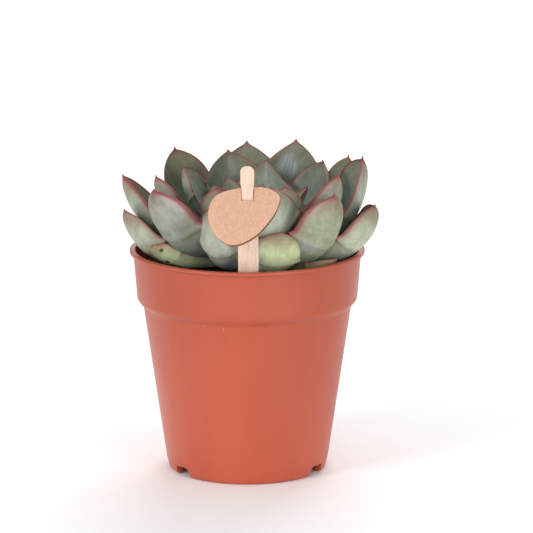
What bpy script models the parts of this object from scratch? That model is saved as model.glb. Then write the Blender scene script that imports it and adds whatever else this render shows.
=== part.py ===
"""A rosette succulent in a thin plastic nursery pot, with its wooden label.

+Z is up and the origin is on the pot's axis, on the surface that the pot stands on. The label faces -Y.
Azimuths are in degrees about +Z: 0 is towards -Y, and they grow towards +X.
Sizes are written in millimetres, and MM turns them into Blender's metres.
"""

import math

import bmesh
import bpy
from mathutils import Euler, Vector

MM = 0.001
CLEARANCE = 0.3
TURNED_STEPS = 64
EDGE_ANGLE = 35

# The pot: its radii are the outer ones, and one wall thickness makes the inside
POT_HEIGHT = 100.0
LIP_RADIUS = 52.5
LIP_THICKNESS = 1.7
LIP_ROUND = 0.5
COLLAR_TOP_RADIUS = 50.9
COLLAR_FOOT_RADIUS = 49.3
COLLAR_FOOT_HEIGHT = 78.6
STEP_DEPTH = 4.4
WALL_TOP_RADIUS = 46.5
WALL_FOOT_RADIUS = 36.4
FOOT_RADIUS = 35.2
FOOT_ROUND = 1.6
FOOT_FLARE = 0.4
SKIRT_DRAFT = 0.8
WALL = 1.1
FLOOR_HEIGHT = 5.0
FLOOR_THICKNESS = 1.2
NOTCH_AZIMUTHS = (-54.0, 60.0, 183.0)
NOTCH_WIDTH = 9.6
NOTCH_HEIGHT = 4.6
NOTCH_ROUND = 2.2
NOTCH_SPLAY = 1.0
DRAIN_RADIUS = 4.0
DRAIN_RING_RADIUS = 23.0
DRAIN_RING_COUNT = 6
CUT_PAST = 2.0

# The soil: a plug that fills the pot, banked up against the wall in front
SOIL_LEVEL = 91.0
SOIL_RELIEF = 0.42
BANK_HEIGHT = 4.6
BANK_AZIMUTH = -10.0
BANK_SPREAD = 38.0
BANK_START_RADIUS = 38.0
SOIL_RINGS = 10

# The stem: the leaves' roots cover it, and its lower end stands in a plain hole in the soil
STEM_PROFILE = ((8.0, 76.0), (8.6, 92.0), (8.0, 104.0), (7.0, 112.0), (4.4, 117.0), (1.8, 119.5))
STEM_SIDES = 16

# The leaves: number 0 is the oldest and lowest, and each younger one is a golden turn further round
GOLDEN_TURN = 137.5
OLDEST_AZIMUTH = -47.5
LEAF_COUNT = 44
SHED_LEAVES = (1, 2, 3, 4, 5, 8)

# How a leaf's sizes change with its number: its tip's distance from the axis, its tip's height,
# its width, its root's distance from the axis and height, and its thickness
REACH = (
    (0, 51), (11, 43), (13, 57), (20, 56), (22, 53), (25, 47), (27, 44), (30, 37), (33, 27), (36, 14), (43, 3)
)
RISE = (
    (0, 109), (6, 102), (11, 116), (14, 122), (17, 135), (22, 139), (27, 139), (33, 134.5), (36, 129.5),
    (43, 123),
)
WIDTH = ((0, 18), (6, 17), (11, 29), (14, 31), (25, 31), (30, 29), (33, 25), (35, 15), (43, 5))
ROOT_RADIUS = ((0, 4.0), (33, 4.0), (43, 0.8))
ROOT_HEIGHT = ((0, 95), (11, 95), (14, 96), (17, 98), (24, 103.5), (30, 108), (36, 113), (43, 117))
THICKNESS = ((0, 4.0), (13, 5.0), (24, 5.1), (30, 4.3), (36, 3.0), (43, 2.0))
# How far out and up the middle of the leaf's arch is pulled, as shares of its reach and its rise
ARCH_OUT = ((0, 0.82), (17, 0.87), (33, 0.86), (36, 0.6), (43, 0.3))
ARCH_UP = ((0, 0.08), (11, -0.03), (22, -0.01), (27, 0.07), (33, 0.13), (43, 0.3))
CUP = 0.21

# What single leaves have in place of that, where a neighbour, the rim or the label has turned or bent
# them. Roll turns a leaf about its own length towards its tip, in degrees.
BENT_LEAVES = {
    0: {"azimuth": -60.5, "reach": 48.5, "rise": 106.5, "width": 14.5, "roll": 37, "shoulder": 3.3},
    6: {"azimuth": 52.5, "reach": 49, "rise": 101.5, "width": 15.5, "roll": -5, "cup": 0.14},
    7: {"reach": 49, "rise": 114, "width": 26},
    9: {"reach": 52, "rise": 117, "width": 27},
    10: {"reach": 52, "rise": 118, "width": 27},
    11: {
        "azimuth": 19.5, "reach": 44.5, "rise": 116.5, "width": 24.5, "root_height": 96, "roll": -12,
        "cup": 0.08, "arch_out": 0.88, "arch_up": -0.2, "shoulder": 4.3,
    },
    12: {"reach": 54, "rise": 121, "width": 29},
    13: {
        "azimuth": -75.5, "reach": 56.5, "rise": 121, "width": 26.5, "roll": 5, "cup": 0.24, "arch_out": 0.81,
        "arch_up": -0.1, "shoulder": 3.7,
    },
    14: {
        "azimuth": 74, "reach": 59, "rise": 123.5, "width": 28.5, "roll": 6, "cup": 0.3, "arch_out": 0.9,
        "shoulder": 5.2,
    },
    15: {"reach": 56, "rise": 127},
    16: {
        "azimuth": -18, "reach": 47, "rise": 128.5, "width": 29, "roll": -12, "cup": 0.45, "arch_out": 0.8,
        "shoulder": 1.7,
    },
    17: {
        "azimuth": 125.5, "rise": 136.5, "width": 29.5, "roll": -4, "cup": 0.12, "arch_out": 1.0,
        "shoulder": 4,
    },
    18: {"azimuth": -95, "rise": 133, "width": 32, "roll": 7, "cup": 0.25, "arch_out": 0.73},
    19: {
        "azimuth": 43.5, "reach": 55.5, "rise": 133, "width": 26.5, "roll": 4, "cup": 0.33, "arch_out": 0.94,
        "arch_up": -0.08, "shoulder": 4.4,
    },
    20: {"azimuth": 180.5, "reach": 57, "rise": 138.5, "width": 38.5, "roll": 7, "cup": 0.23, "shoulder": 2},
    21: {
        "azimuth": -49.5, "reach": 53.5, "rise": 134, "width": 28.5, "roll": -4, "cup": 0.33,
        "arch_out": 0.81, "shoulder": 4.4,
    },
    22: {
        "azimuth": 96, "reach": 52, "rise": 141, "width": 36, "roll": 4, "cup": 0.2, "arch_out": 0.94,
        "arch_up": -0.09, "shoulder": 5.5,
    },
    23: {
        "azimuth": -135.5, "reach": 47.5, "rise": 140, "width": 30.5, "roll": 6, "arch_out": 0.9,
        "shoulder": 4.2,
    },
    24: {
        "azimuth": 15, "reach": 42, "rise": 136, "width": 33, "roll": 12, "cup": 0.3, "arch_out": 0.9,
        "shoulder": 2.2,
    },
    25: {
        "azimuth": 152.5, "reach": 48, "rise": 142, "width": 32, "roll": 20, "arch_out": 0.97,
        "shoulder": 2.1,
    },
    26: {
        "azimuth": -75.5, "reach": 42, "rise": 135.5, "width": 25, "roll": 8, "cup": 0.18, "arch_out": 0.75,
        "shoulder": 4.1,
    },
    27: {"azimuth": 62.5, "reach": 45, "rise": 138, "width": 26.5, "roll": -4, "arch_out": 0.94},
    28: {
        "azimuth": -165.5, "reach": 36, "rise": 138.5, "width": 30.5, "roll": 12, "cup": 0.41,
        "arch_out": 0.81, "arch_up": 0.12, "shoulder": 2.3,
    },
    29: {
        "azimuth": -19.5, "reach": 39.5, "rise": 135.5, "width": 22.5, "roll": 19, "cup": 0.27,
        "arch_out": 0.66, "shoulder": 2,
    },
    30: {"azimuth": 113, "rise": 137.5, "width": 31.5, "arch_out": 0.95, "arch_up": 0.07, "shoulder": 3},
    31: {
        "azimuth": -116, "reach": 32, "rise": 135, "width": 36, "roll": 20, "cup": 0.18, "arch_out": 0.75,
        "shoulder": 3,
    },
    32: {"azimuth": 30.5, "reach": 34, "rise": 134, "roll": -12, "shoulder": 1.7},
    33: {"azimuth": 162, "reach": 28, "rise": 135.5, "width": 26, "arch_out": 1.0, "shoulder": 1.1},
    34: {"reach": 18, "rise": 131, "width": 20},
    35: {
        "azimuth": 89, "reach": 27, "rise": 128.5, "width": 14, "roll": 10, "arch_out": 0.8,
        "shoulder": 1.8,
    },
    36: {"azimuth": -142, "reach": 15, "rise": 130, "width": 15, "shoulder": 1.8},
}

# A leaf's form, from its root at 0 to its tip at 1
LEAF_STATIONS = (0.0, 0.14, 0.3, 0.46, 0.6, 0.73, 0.84, 0.92, 0.97)
ROOT_SHARE = 0.34
BROADEST_AT = 0.6
SHOULDER = 2.6
BLUNTNESS = 0.75
BLADE_END = 0.98
SPIKE_SHARE = 0.06
THICKEST_AT = 0.45
ROOT_THICKNESS_SHARE = 0.65
TIP_THICKNESS_SHARE = 0.22
UPPER_SHARE = 0.32
EDGE_THINNING = 0.75
BOW_CENTRE = 0.3
# The points round a leaf's section: across from margin to margin, and 1 for the inner face or -1 for the
# outer one
LEAF_SECTION = ((-1, 0), (-0.62, 1), (0, 1), (0.62, 1), (1, 0), (0.62, -1), (0, -1), (-0.62, -1))

# The label's stick: a flat strip, broad below its shoulders, with a neck and a round head above them
STICK_THICKNESS = 1.1
STICK_LENGTH = 110.9
STICK_WIDTH = 8.9
STICK_POINT_LENGTH = 9.0
STICK_POINT_WIDTH = 1.2
STICK_SHOULDER = 94.5
SHOULDER_ROUND = 1.2
NECK_WIDTH = 4.9
NECK_END = 102.0
NECK_BLEND = 1.6
HEAD_WIDTH = 6.0
HEAD_ROUND = 2.6
STICK_FOOT = (1.45, -36.1, 37.0)
STICK_LEAN = 8.0
STICK_SIDE_LEAN = -0.62

# The tag: a thin rounded three-cornered plate, threaded on the neck by its slit and leaning back
TAG_THICKNESS = 0.7
TAG_SLIT_LEFT = -2.8
TAG_SLIT_RIGHT = 3.4
TAG_SLIT_HEIGHT = 4.8
TAG_HANG = 97.8
TAG_LEAN = 19.0
TAG_OUTLINE = (
    (-0.3, 3.35), (7.5, 3.2), (12.2, 1.3), (14.1, -2.05), (11.8, -8.8), (5.3, -17.0), (-1.1, -21.1),
    (-5.9, -22.35), (-9.7, -21.1), (-14.3, -16.8), (-17.0, -9.4), (-15.3, -2.25), (-10.2, 1.45),
)

# Colours as they look in daylight, red, green and blue up to 255
PLASTIC_COLOUR = (198, 98, 74)
SOIL_COLOUR = (62, 48, 38)
LEAF_COLOUR = (136, 152, 130)
STICK_COLOUR = (246, 217, 196)
TAG_COLOUR = (235, 190, 160)


def clear_scene():
    for old in list(bpy.data.objects):
        bpy.data.objects.remove(old)


def plain_material(name, colour, roughness):
    """A Principled material in a colour given as it looks, which the shader takes as linear light."""
    material = bpy.data.materials.new(name)
    material.use_nodes = True
    shader = material.node_tree.nodes["Principled BSDF"]
    linear = [((part / 255 + 0.055) / 1.055) ** 2.4 for part in colour]
    shader.inputs["Base Color"].default_value = (*linear, 1.0)
    shader.inputs["Roughness"].default_value = roughness
    shader.inputs["Metallic"].default_value = 0.0
    return material


def add_object(name, mesh, material=None):
    thing = bpy.data.objects.new(name, mesh)
    bpy.context.scene.collection.objects.link(thing)
    if material:
        mesh.materials.append(material)
    return thing


def mesh_from(work, name):
    """The bmesh as a smooth-shaded mesh with its faces turned outwards."""
    bmesh.ops.recalc_face_normals(work, faces=work.faces)
    mesh = bpy.data.meshes.new(name)
    work.to_mesh(mesh)
    work.free()
    mesh.shade_smooth()
    mesh.set_sharp_from_angle(angle=math.radians(EDGE_ANGLE))
    return mesh


def apply_modifiers(thing):
    """Leaves the object with the mesh that its modifiers make, and no modifiers."""
    evaluated = thing.evaluated_get(bpy.context.evaluated_depsgraph_get())
    mesh = bpy.data.meshes.new_from_object(evaluated)
    thing.modifiers.clear()
    thing.data = mesh


def at_azimuth(radius, azimuth, height):
    turn = math.radians(azimuth)
    return Vector((radius * math.sin(turn), -radius * math.cos(turn), height))


def arc(centre, radius, start, end, steps):
    """Points along an arc from one angle to another, in degrees."""
    turns = [math.radians(start + (end - start) * i / steps) for i in range(steps + 1)]
    return [(centre[0] + radius * math.cos(turn), centre[1] + radius * math.sin(turn)) for turn in turns]


# Pot


def pot_wall_radius(height):
    """The outer radius of the pot's wall and collar at a height, without the lip and the foot's round."""
    step_foot = COLLAR_FOOT_HEIGHT - STEP_DEPTH
    if height >= COLLAR_FOOT_HEIGHT:
        share = (height - COLLAR_FOOT_HEIGHT) / (POT_HEIGHT - LIP_THICKNESS - COLLAR_FOOT_HEIGHT)
        return COLLAR_FOOT_RADIUS + share * (COLLAR_TOP_RADIUS - COLLAR_FOOT_RADIUS)
    if height >= step_foot:
        share = (height - step_foot) / STEP_DEPTH
        return WALL_TOP_RADIUS + (COLLAR_FOOT_RADIUS - WALL_TOP_RADIUS) * math.sin(share * math.pi / 2) ** 1.5
    share = (height - FLOOR_HEIGHT) / (step_foot - FLOOR_HEIGHT)
    return WALL_FOOT_RADIUS + share * (WALL_TOP_RADIUS - WALL_FOOT_RADIUS)


def wall_heights():
    """Where the wall's outline bends, from the foot to the lip."""
    step_foot = COLLAR_FOOT_HEIGHT - STEP_DEPTH
    step = [step_foot + STEP_DEPTH * share for share in (0.0, 0.3, 0.6, 0.85, 1.0)]
    return [FLOOR_HEIGHT, *step, POT_HEIGHT - LIP_THICKNESS]


def pot_profile():
    """Radius and height round the wall's section: inside from the axis to the lip, then down the outside."""
    inner_foot = FLOOR_HEIGHT + FLOOR_THICKNESS
    profile = [(0.0, inner_foot), (pot_wall_radius(inner_foot) - WALL, inner_foot)]
    profile += [(pot_wall_radius(height) - WALL, height) for height in wall_heights()[1:]]
    lip_inner = COLLAR_TOP_RADIUS - WALL + LIP_ROUND
    lip_foot = POT_HEIGHT - LIP_THICKNESS
    profile += [
        (lip_inner, POT_HEIGHT - LIP_ROUND),
        (lip_inner + LIP_ROUND, POT_HEIGHT),
        (LIP_RADIUS - LIP_ROUND, POT_HEIGHT),
        (LIP_RADIUS, POT_HEIGHT - LIP_ROUND),
        (LIP_RADIUS, lip_foot + LIP_ROUND),
        (LIP_RADIUS - LIP_ROUND, lip_foot),
        (COLLAR_TOP_RADIUS, lip_foot),
    ]
    profile += [(pot_wall_radius(height), height) for height in reversed(wall_heights()[:-1])]
    for step in range(4):
        turn = math.radians(30 * step)
        radius = FOOT_RADIUS - FOOT_ROUND + FOOT_ROUND * math.cos(turn)
        profile.append((radius + FOOT_FLARE * (1 - step / 3), FOOT_ROUND - FOOT_ROUND * math.sin(turn)))
    inner_skirt = FOOT_RADIUS - FOOT_ROUND - WALL
    profile += [(inner_skirt, 0.0), (inner_skirt + SKIRT_DRAFT, FLOOR_HEIGHT), (0.0, FLOOR_HEIGHT)]
    return profile


def turned_object(name, profile, steps, material=None):
    """A profile of radius and height, turned about Z by a Screw modifier."""
    mesh = bpy.data.meshes.new(name)
    points = [(radius * MM, 0.0, height * MM) for radius, height in profile]
    mesh.from_pydata(points, [(i, i + 1) for i in range(len(points) - 1)], [])
    thing = add_object(name, mesh, material)
    screw = thing.modifiers.new("turn", "SCREW")
    screw.steps = steps
    screw.render_steps = steps
    screw.use_merge_vertices = True
    screw.merge_threshold = 0.00001
    screw.use_smooth_shade = True
    return thing


def cutter(name, work):
    thing = add_object(name, mesh_from(work, name))
    thing.hide_render = True
    thing.display_type = "WIRE"
    return thing


def cut(thing, tool):
    boolean = thing.modifiers.new("cut_by_" + tool.name, "BOOLEAN")
    boolean.operation = "DIFFERENCE"
    boolean.object = tool


def drain_cutter(name, centre):
    work = bmesh.new()
    radius = DRAIN_RADIUS * MM
    depth = 2 * (FLOOR_THICKNESS + CUT_PAST) * MM
    bmesh.ops.create_cone(work, cap_ends=True, segments=16, radius1=radius, radius2=radius, depth=depth)
    bmesh.ops.translate(work, verts=work.verts, vec=centre * MM)
    return cutter(name, work)


def notch_cutter(name, azimuth):
    """An arch through the foot's skirt, open below, with its two upper corners rounded."""
    work = bmesh.new()
    half = NOTCH_WIDTH / 2
    corner = (half - NOTCH_ROUND, NOTCH_HEIGHT - NOTCH_ROUND)
    side = [(half + NOTCH_SPLAY, -CUT_PAST), *arc(corner, NOTCH_ROUND, 0, 90, 4)]
    arch = side + [(-across, height) for across, height in reversed(side)]
    side_way = at_azimuth(1.0, azimuth + 90, 0.0)
    rings = []
    for radius in (FOOT_RADIUS - FOOT_ROUND - WALL - 2 * CUT_PAST, FOOT_RADIUS + 2 * CUT_PAST):
        out = at_azimuth(radius, azimuth, 0.0)
        places = [out + side_way * across + Vector((0, 0, height)) for across, height in arch]
        rings.append([work.verts.new(place * MM) for place in places])
    near, far = rings
    work.faces.new(near)
    work.faces.new(far)
    for i in range(len(arch)):
        j = (i + 1) % len(arch)
        work.faces.new((near[i], near[j], far[j], far[i]))
    return cutter(name, work)


def build_pot():
    material = plain_material("terracotta_plastic", PLASTIC_COLOUR, 0.42)
    pot = turned_object("pot", pot_profile(), TURNED_STEPS, material)
    centres = [Vector((0, 0, FLOOR_HEIGHT))]
    for i in range(DRAIN_RING_COUNT):
        centres.append(at_azimuth(DRAIN_RING_RADIUS, 360 * i / DRAIN_RING_COUNT, FLOOR_HEIGHT))
    for i, centre in enumerate(centres):
        cut(pot, drain_cutter(f"drain_cutter_{i}", centre))
    for i, azimuth in enumerate(NOTCH_AZIMUTHS):
        cut(pot, notch_cutter(f"notch_cutter_{i}", azimuth))


# Soil


def soil_height(radius, azimuth):
    """The soil's surface: small uneven relief, and the bank against the front wall."""
    turn = math.radians(azimuth)
    x = radius * math.sin(turn)
    y = radius * math.cos(turn)
    relief = math.sin(0.31 * x + 0.4) * math.cos(0.27 * y) + 0.6 * math.sin(0.53 * y + 0.37 * x + 1.1)
    away = (azimuth - BANK_AZIMUTH + 180) % 360 - 180
    rise = max(0.0, (radius - BANK_START_RADIUS) / (COLLAR_TOP_RADIUS - WALL - BANK_START_RADIUS))
    bank = BANK_HEIGHT * math.exp(-((away / BANK_SPREAD) ** 2)) * rise ** 1.3
    return SOIL_LEVEL + SOIL_RELIEF * relief + bank


def build_soil():
    """A turned plug, a clearance inside the pot's wall, with its top raised by a formula."""
    work = bmesh.new()
    step_foot = COLLAR_FOOT_HEIGHT - STEP_DEPTH
    floor = FLOOR_HEIGHT + FLOOR_THICKNESS + CLEARANCE
    sides = [floor, step_foot, step_foot + STEP_DEPTH * 0.6, COLLAR_FOOT_HEIGHT]
    columns = []
    for step in range(TURNED_STEPS):
        azimuth = 90.0 + 360.0 * step / TURNED_STEPS
        column = []
        for height in sides:
            radius = pot_wall_radius(height) - WALL - CLEARANCE
            column.append(work.verts.new(at_azimuth(radius, azimuth, height) * MM))
        rim = pot_wall_radius(SOIL_LEVEL) - WALL - CLEARANCE
        for ring in range(SOIL_RINGS):
            radius = rim * (1 - ring / SOIL_RINGS)
            column.append(work.verts.new(at_azimuth(radius, azimuth, soil_height(radius, azimuth)) * MM))
        columns.append(column)
    middle = work.verts.new(Vector((0, 0, soil_height(0.0, 0.0))) * MM)
    for i, column in enumerate(columns):
        after = columns[(i + 1) % TURNED_STEPS]
        for low in range(len(column) - 1):
            work.faces.new((column[low], after[low], after[low + 1], column[low + 1]))
        work.faces.new((column[-1], after[-1], middle))
    work.faces.new([column[0] for column in reversed(columns)])
    mesh = mesh_from(work, "potting_soil")
    soil = add_object("potting_soil", mesh, plain_material("peat", SOIL_COLOUR, 0.95))

    hole = bmesh.new()
    hole_foot = STEM_PROFILE[0][1] - CLEARANCE
    depth = POT_HEIGHT - hole_foot
    radius = (STEM_PROFILE[1][0] + CLEARANCE) * MM
    bmesh.ops.create_cone(hole, cap_ends=True, segments=24, radius1=radius, radius2=radius, depth=depth * MM)
    bmesh.ops.translate(hole, verts=hole.verts, vec=Vector((0, 0, hole_foot + depth / 2)) * MM)
    cut(soil, cutter("stem_hole_cutter", hole))

    slot = bmesh.new()
    bmesh.ops.create_cube(slot, size=MM)
    size = (STICK_WIDTH + 2 * CLEARANCE, STICK_THICKNESS + 2 * CLEARANCE, STICK_LENGTH + CLEARANCE)
    bmesh.ops.scale(slot, verts=slot.verts, vec=size)
    bmesh.ops.translate(slot, verts=slot.verts, vec=Vector((0, 0, STICK_LENGTH / 2 - CLEARANCE / 2)) * MM)
    bmesh.ops.transform(slot, verts=slot.verts, matrix=stick_turn().to_matrix().to_4x4())
    bmesh.ops.translate(slot, verts=slot.verts, vec=Vector(STICK_FOOT) * MM)
    cut(soil, cutter("stick_slot_cutter", slot))


# Rosette


def growth(curve, number):
    """The value for a leaf's number on a curve of (number, value) pairs, straight between them."""
    for (low, start), (high, end) in zip(curve, curve[1:]):
        if number <= high:
            return start + (end - start) * (number - low) / (high - low)
    return curve[-1][1]


def leaf_habit(number):
    habit = {
        "azimuth": OLDEST_AZIMUTH + GOLDEN_TURN * number,
        "reach": growth(REACH, number),
        "rise": growth(RISE, number),
        "width": growth(WIDTH, number),
        "root_radius": growth(ROOT_RADIUS, number),
        "root_height": growth(ROOT_HEIGHT, number),
        "thickness": growth(THICKNESS, number),
        "arch_out": growth(ARCH_OUT, number),
        "arch_up": growth(ARCH_UP, number),
        "cup": CUP,
        "shoulder": SHOULDER,
        "roll": 0.0,
    }
    habit.update(BENT_LEAVES.get(number, {}))
    return habit


def width_share(along, shoulder):
    """The leaf's width along its length: narrow root, broad shoulders, and a blunt end with a short spike."""
    if along <= BROADEST_AT:
        part = along / BROADEST_AT
        return ROOT_SHARE + (1 - ROOT_SHARE) * part * part * (3 - 2 * part)
    part = min(1.0, (along - BROADEST_AT) / (BLADE_END - BROADEST_AT))
    blade = (1 - part ** shoulder) ** BLUNTNESS
    return max(blade, SPIKE_SHARE * (1 - along) / (1 - BLADE_END))


def thickness_share(along):
    if along < THICKEST_AT:
        return ROOT_THICKNESS_SHARE + (1 - ROOT_THICKNESS_SHARE) * along / THICKEST_AT
    part = (along - THICKEST_AT) / (1 - THICKEST_AT)
    return 1 - (1 - TIP_THICKNESS_SHARE) * part ** 1.5


def leaf_place(habit, along):
    """The arch's point at a share of its length, and there the way across the blade and to its inner face."""
    out = at_azimuth(1.0, habit["azimuth"], 0.0)
    up = Vector((0, 0, 1))
    side = up.cross(out)
    root = Vector((habit["root_radius"], habit["root_height"]))
    tip = Vector((habit["reach"], habit["rise"]))
    pull_height = root.y + habit["arch_up"] * (tip.y - root.y)
    pull = Vector((habit["arch_out"] * tip.x, pull_height))
    rest = 1 - along
    point = rest * rest * root + 2 * along * rest * pull + along * along * tip
    way = (2 * rest * (pull - root) + 2 * along * (tip - pull)).normalized()
    inner = up * way.x - out * way.y
    roll = math.radians(habit["roll"]) * along
    across = side * math.cos(roll) + inner * math.sin(roll)
    face = inner * math.cos(roll) - side * math.sin(roll)
    return out * point.x + up * point.y, across, face


def add_leaf(number, collection):
    """One closed blade: a ring of points at each station, bridged, with its point at the tip."""
    habit = leaf_habit(number)
    work = bmesh.new()
    rings = []
    for along in LEAF_STATIONS:
        centre, across, face = leaf_place(habit, along)
        half = habit["width"] / 2 * width_share(along, habit["shoulder"])
        thick = habit["thickness"] * thickness_share(along)
        ring = []
        for x, skin in LEAF_SECTION:
            bow = habit["cup"] * 2 * half * (x * x - BOW_CENTRE)
            share = UPPER_SHARE if skin > 0 else 1 - UPPER_SHARE
            depth = skin * share * thick * (1 - EDGE_THINNING * x * x)
            ring.append(work.verts.new((centre + across * (half * x) + face * (bow + depth)) * MM))
        rings.append(ring)
    tip = work.verts.new(leaf_place(habit, 1.0)[0] * MM)
    for ring, after in zip(rings, rings[1:]):
        for i in range(len(ring)):
            j = (i + 1) % len(ring)
            work.faces.new((ring[i], ring[j], after[j], after[i]))
    last = rings[-1]
    for i in range(len(last)):
        work.faces.new((last[i], last[(i + 1) % len(last)], tip))
    work.faces.new(rings[0][::-1])
    name = f"leaf_{number:02d}"
    leaf = bpy.data.objects.new(name, mesh_from(work, name))
    collection.objects.link(leaf)


def build_rosette():
    """The stem with every leaf fused to it, as the plant grew."""
    leaves = bpy.data.collections.new("leaves")
    bpy.context.scene.collection.children.link(leaves)
    for number in range(LEAF_COUNT):
        if number not in SHED_LEAVES:
            add_leaf(number, leaves)
    profile = [(0.0, STEM_PROFILE[-1][1]), *reversed(STEM_PROFILE), (0.0, STEM_PROFILE[0][1])]
    rosette = turned_object("rosette", profile, STEM_SIDES, plain_material("leaf_flesh", LEAF_COLOUR, 0.5))
    union = rosette.modifiers.new("leaves", "BOOLEAN")
    union.operation = "UNION"
    union.operand_type = "COLLECTION"
    union.collection = leaves
    union.solver = "EXACT"
    apply_modifiers(rosette)
    for leaf in list(leaves.objects):
        bpy.data.objects.remove(leaf)
    bpy.data.collections.remove(leaves)


# Label


def stick_turn():
    """The stick leans towards the front, and a little to one side."""
    return Euler((math.radians(STICK_LEAN), math.radians(STICK_SIDE_LEAN), 0.0))


def flat_curve(name, thickness, material):
    """A flat filled outline in X and Y, raised to a plate by half its thickness each way."""
    curve = bpy.data.curves.new(name, "CURVE")
    curve.dimensions = "2D"
    curve.fill_mode = "BOTH"
    curve.extrude = thickness / 2 * MM
    curve.resolution_u = 6
    curve.materials.append(material)
    thing = bpy.data.objects.new(name, curve)
    bpy.context.scene.collection.objects.link(thing)
    return thing


def add_poly(curve, points):
    spline = curve.splines.new("POLY")
    spline.points.add(len(points) - 1)
    for place, (x, y) in zip(spline.points, points):
        place.co = (x * MM, y * MM, 0.0, 1.0)
    spline.use_cyclic_u = True


def stick_outline():
    """One side from the point up to the shoulder, neck and head, and then its mirror image down again."""
    half = STICK_WIDTH / 2
    head = HEAD_WIDTH / 2
    neck = NECK_WIDTH / 2
    side = [(STICK_POINT_WIDTH / 2, 0.0), (half, STICK_POINT_LENGTH)]
    side += arc((half - SHOULDER_ROUND, STICK_SHOULDER - SHOULDER_ROUND), SHOULDER_ROUND, 0, 90, 3)
    side += [(neck, STICK_SHOULDER), (neck, NECK_END - NECK_BLEND), (head, NECK_END + NECK_BLEND)]
    side += arc((head - HEAD_ROUND, STICK_LENGTH - HEAD_ROUND), HEAD_ROUND, 0, 90, 6)
    return side + [(-x, y) for x, y in reversed(side)]


def build_stick():
    stick = flat_curve("label_stick", STICK_THICKNESS, plain_material("pale_wood", STICK_COLOUR, 0.7))
    add_poly(stick.data, stick_outline())
    turn = stick_turn().to_matrix() @ Euler((math.radians(90), 0.0, 0.0)).to_matrix()
    stick.rotation_euler = turn.to_euler()
    stick.location = Vector(STICK_FOOT) * MM


def build_tag():
    """The tag's own X is across and its Y runs up it from the slit's middle, where the stick passes."""
    tag = flat_curve("label_tag", TAG_THICKNESS, plain_material("tag_wood", TAG_COLOUR, 0.75))
    outline = tag.data.splines.new("BEZIER")
    outline.bezier_points.add(len(TAG_OUTLINE) - 1)
    for place, (x, y) in zip(outline.bezier_points, TAG_OUTLINE):
        place.co = (x * MM, y * MM, 0.0)
        place.handle_left_type = "AUTO"
        place.handle_right_type = "AUTO"
    outline.use_cyclic_u = True
    half = TAG_SLIT_HEIGHT / 2
    corners = [(TAG_SLIT_LEFT, -half), (TAG_SLIT_RIGHT, -half), (TAG_SLIT_RIGHT, half), (TAG_SLIT_LEFT, half)]
    add_poly(tag.data, corners)
    hang = Vector(STICK_FOOT) + stick_turn().to_matrix() @ Vector((0, 0, TAG_HANG))
    tag.rotation_euler = (math.radians(90 - TAG_LEAN), 0.0, 0.0)
    tag.location = hang * MM


clear_scene()
build_pot()
build_soil()
build_rosette()
build_stick()
build_tag()
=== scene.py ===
"""A rosette succulent in its nursery pot, with a wooden label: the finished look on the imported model.

Sizes are in millimetres and MM turns them into metres. Azimuths are in degrees about +Z: 0 is towards -Y,
where the label stands, and they grow towards +X. Colours are written as they look, from 0 to 255.
"""

import math
import random

import bmesh
import bpy
from mathutils import Euler, Matrix, Vector, noise


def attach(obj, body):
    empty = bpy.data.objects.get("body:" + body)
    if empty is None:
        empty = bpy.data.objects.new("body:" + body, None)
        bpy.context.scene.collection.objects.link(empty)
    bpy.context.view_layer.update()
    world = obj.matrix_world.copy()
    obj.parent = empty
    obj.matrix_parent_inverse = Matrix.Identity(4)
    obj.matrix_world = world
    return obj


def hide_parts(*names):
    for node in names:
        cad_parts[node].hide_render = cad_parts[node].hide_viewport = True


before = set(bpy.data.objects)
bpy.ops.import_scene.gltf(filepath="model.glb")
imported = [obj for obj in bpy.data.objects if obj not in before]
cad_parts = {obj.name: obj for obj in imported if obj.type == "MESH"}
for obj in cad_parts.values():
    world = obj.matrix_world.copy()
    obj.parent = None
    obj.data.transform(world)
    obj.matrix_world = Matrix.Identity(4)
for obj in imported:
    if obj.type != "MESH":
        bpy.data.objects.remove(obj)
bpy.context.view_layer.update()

# Pot
# A thin-walled nursery pot, injection-moulded in terracotta-coloured polypropylene. The rolled lip, collar,
# step and notched foot skirt come out of the mould as one piece with a fine satin skin.

MM = 0.001

POT_HEIGHT = 100.0
LIP_RADIUS = 52.5
LIP_THICKNESS = 1.7
LIP_ROUND = 0.55
COLLAR_TOP_RADIUS = 50.9
COLLAR_FOOT_RADIUS = 49.3
COLLAR_FOOT_HEIGHT = 78.6
STEP_DEPTH = 4.4
STEP_FOOT_HEIGHT = COLLAR_FOOT_HEIGHT - STEP_DEPTH
STEP_KNEE_HEIGHT = STEP_FOOT_HEIGHT + 2.6
STEP_SLICES = 14
WALL_TOP_RADIUS = 46.5
WALL_FOOT_RADIUS = 36.4
FOOT_RADIUS = 35.2
FOOT_ROUND = 1.6
FOOT_FLARE = 0.4
SKIRT_DRAFT = 0.8
WALL = 1.1
FLOOR_HEIGHT = 5.0
FLOOR_THICKNESS = 1.2
NOTCH_AZIMUTHS = (-54.0, 60.0, 183.0)
NOTCH_WIDTH = 9.6
NOTCH_HEIGHT = 4.6
NOTCH_ROUND = 2.2
NOTCH_DEPTH = 14.0
DRAIN_RADIUS = 4.0
DRAIN_RING_RADIUS = 23.0
DRAIN_RING_COUNT = 6
DRAIN_SIDES = 32
POT_SIDES = 192
HARD_EDGE_ANGLE = 40

POT_COLOUR = (185, 83, 55)
# The darker colour of the flow marks, and of the painted shade towards the lip
POT_FLOW_AND_PAINTED_SHADE = (163, 66, 39)
POT_SCUFF = (206, 132, 110)
POT_DUST = (100, 62, 42)


def at_azimuth(radius, azimuth, height):
    """The place at a distance from the pot's axis, at an azimuth and a height."""
    turn = math.radians(azimuth)
    return Vector((radius * math.sin(turn), -radius * math.cos(turn), height))


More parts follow.
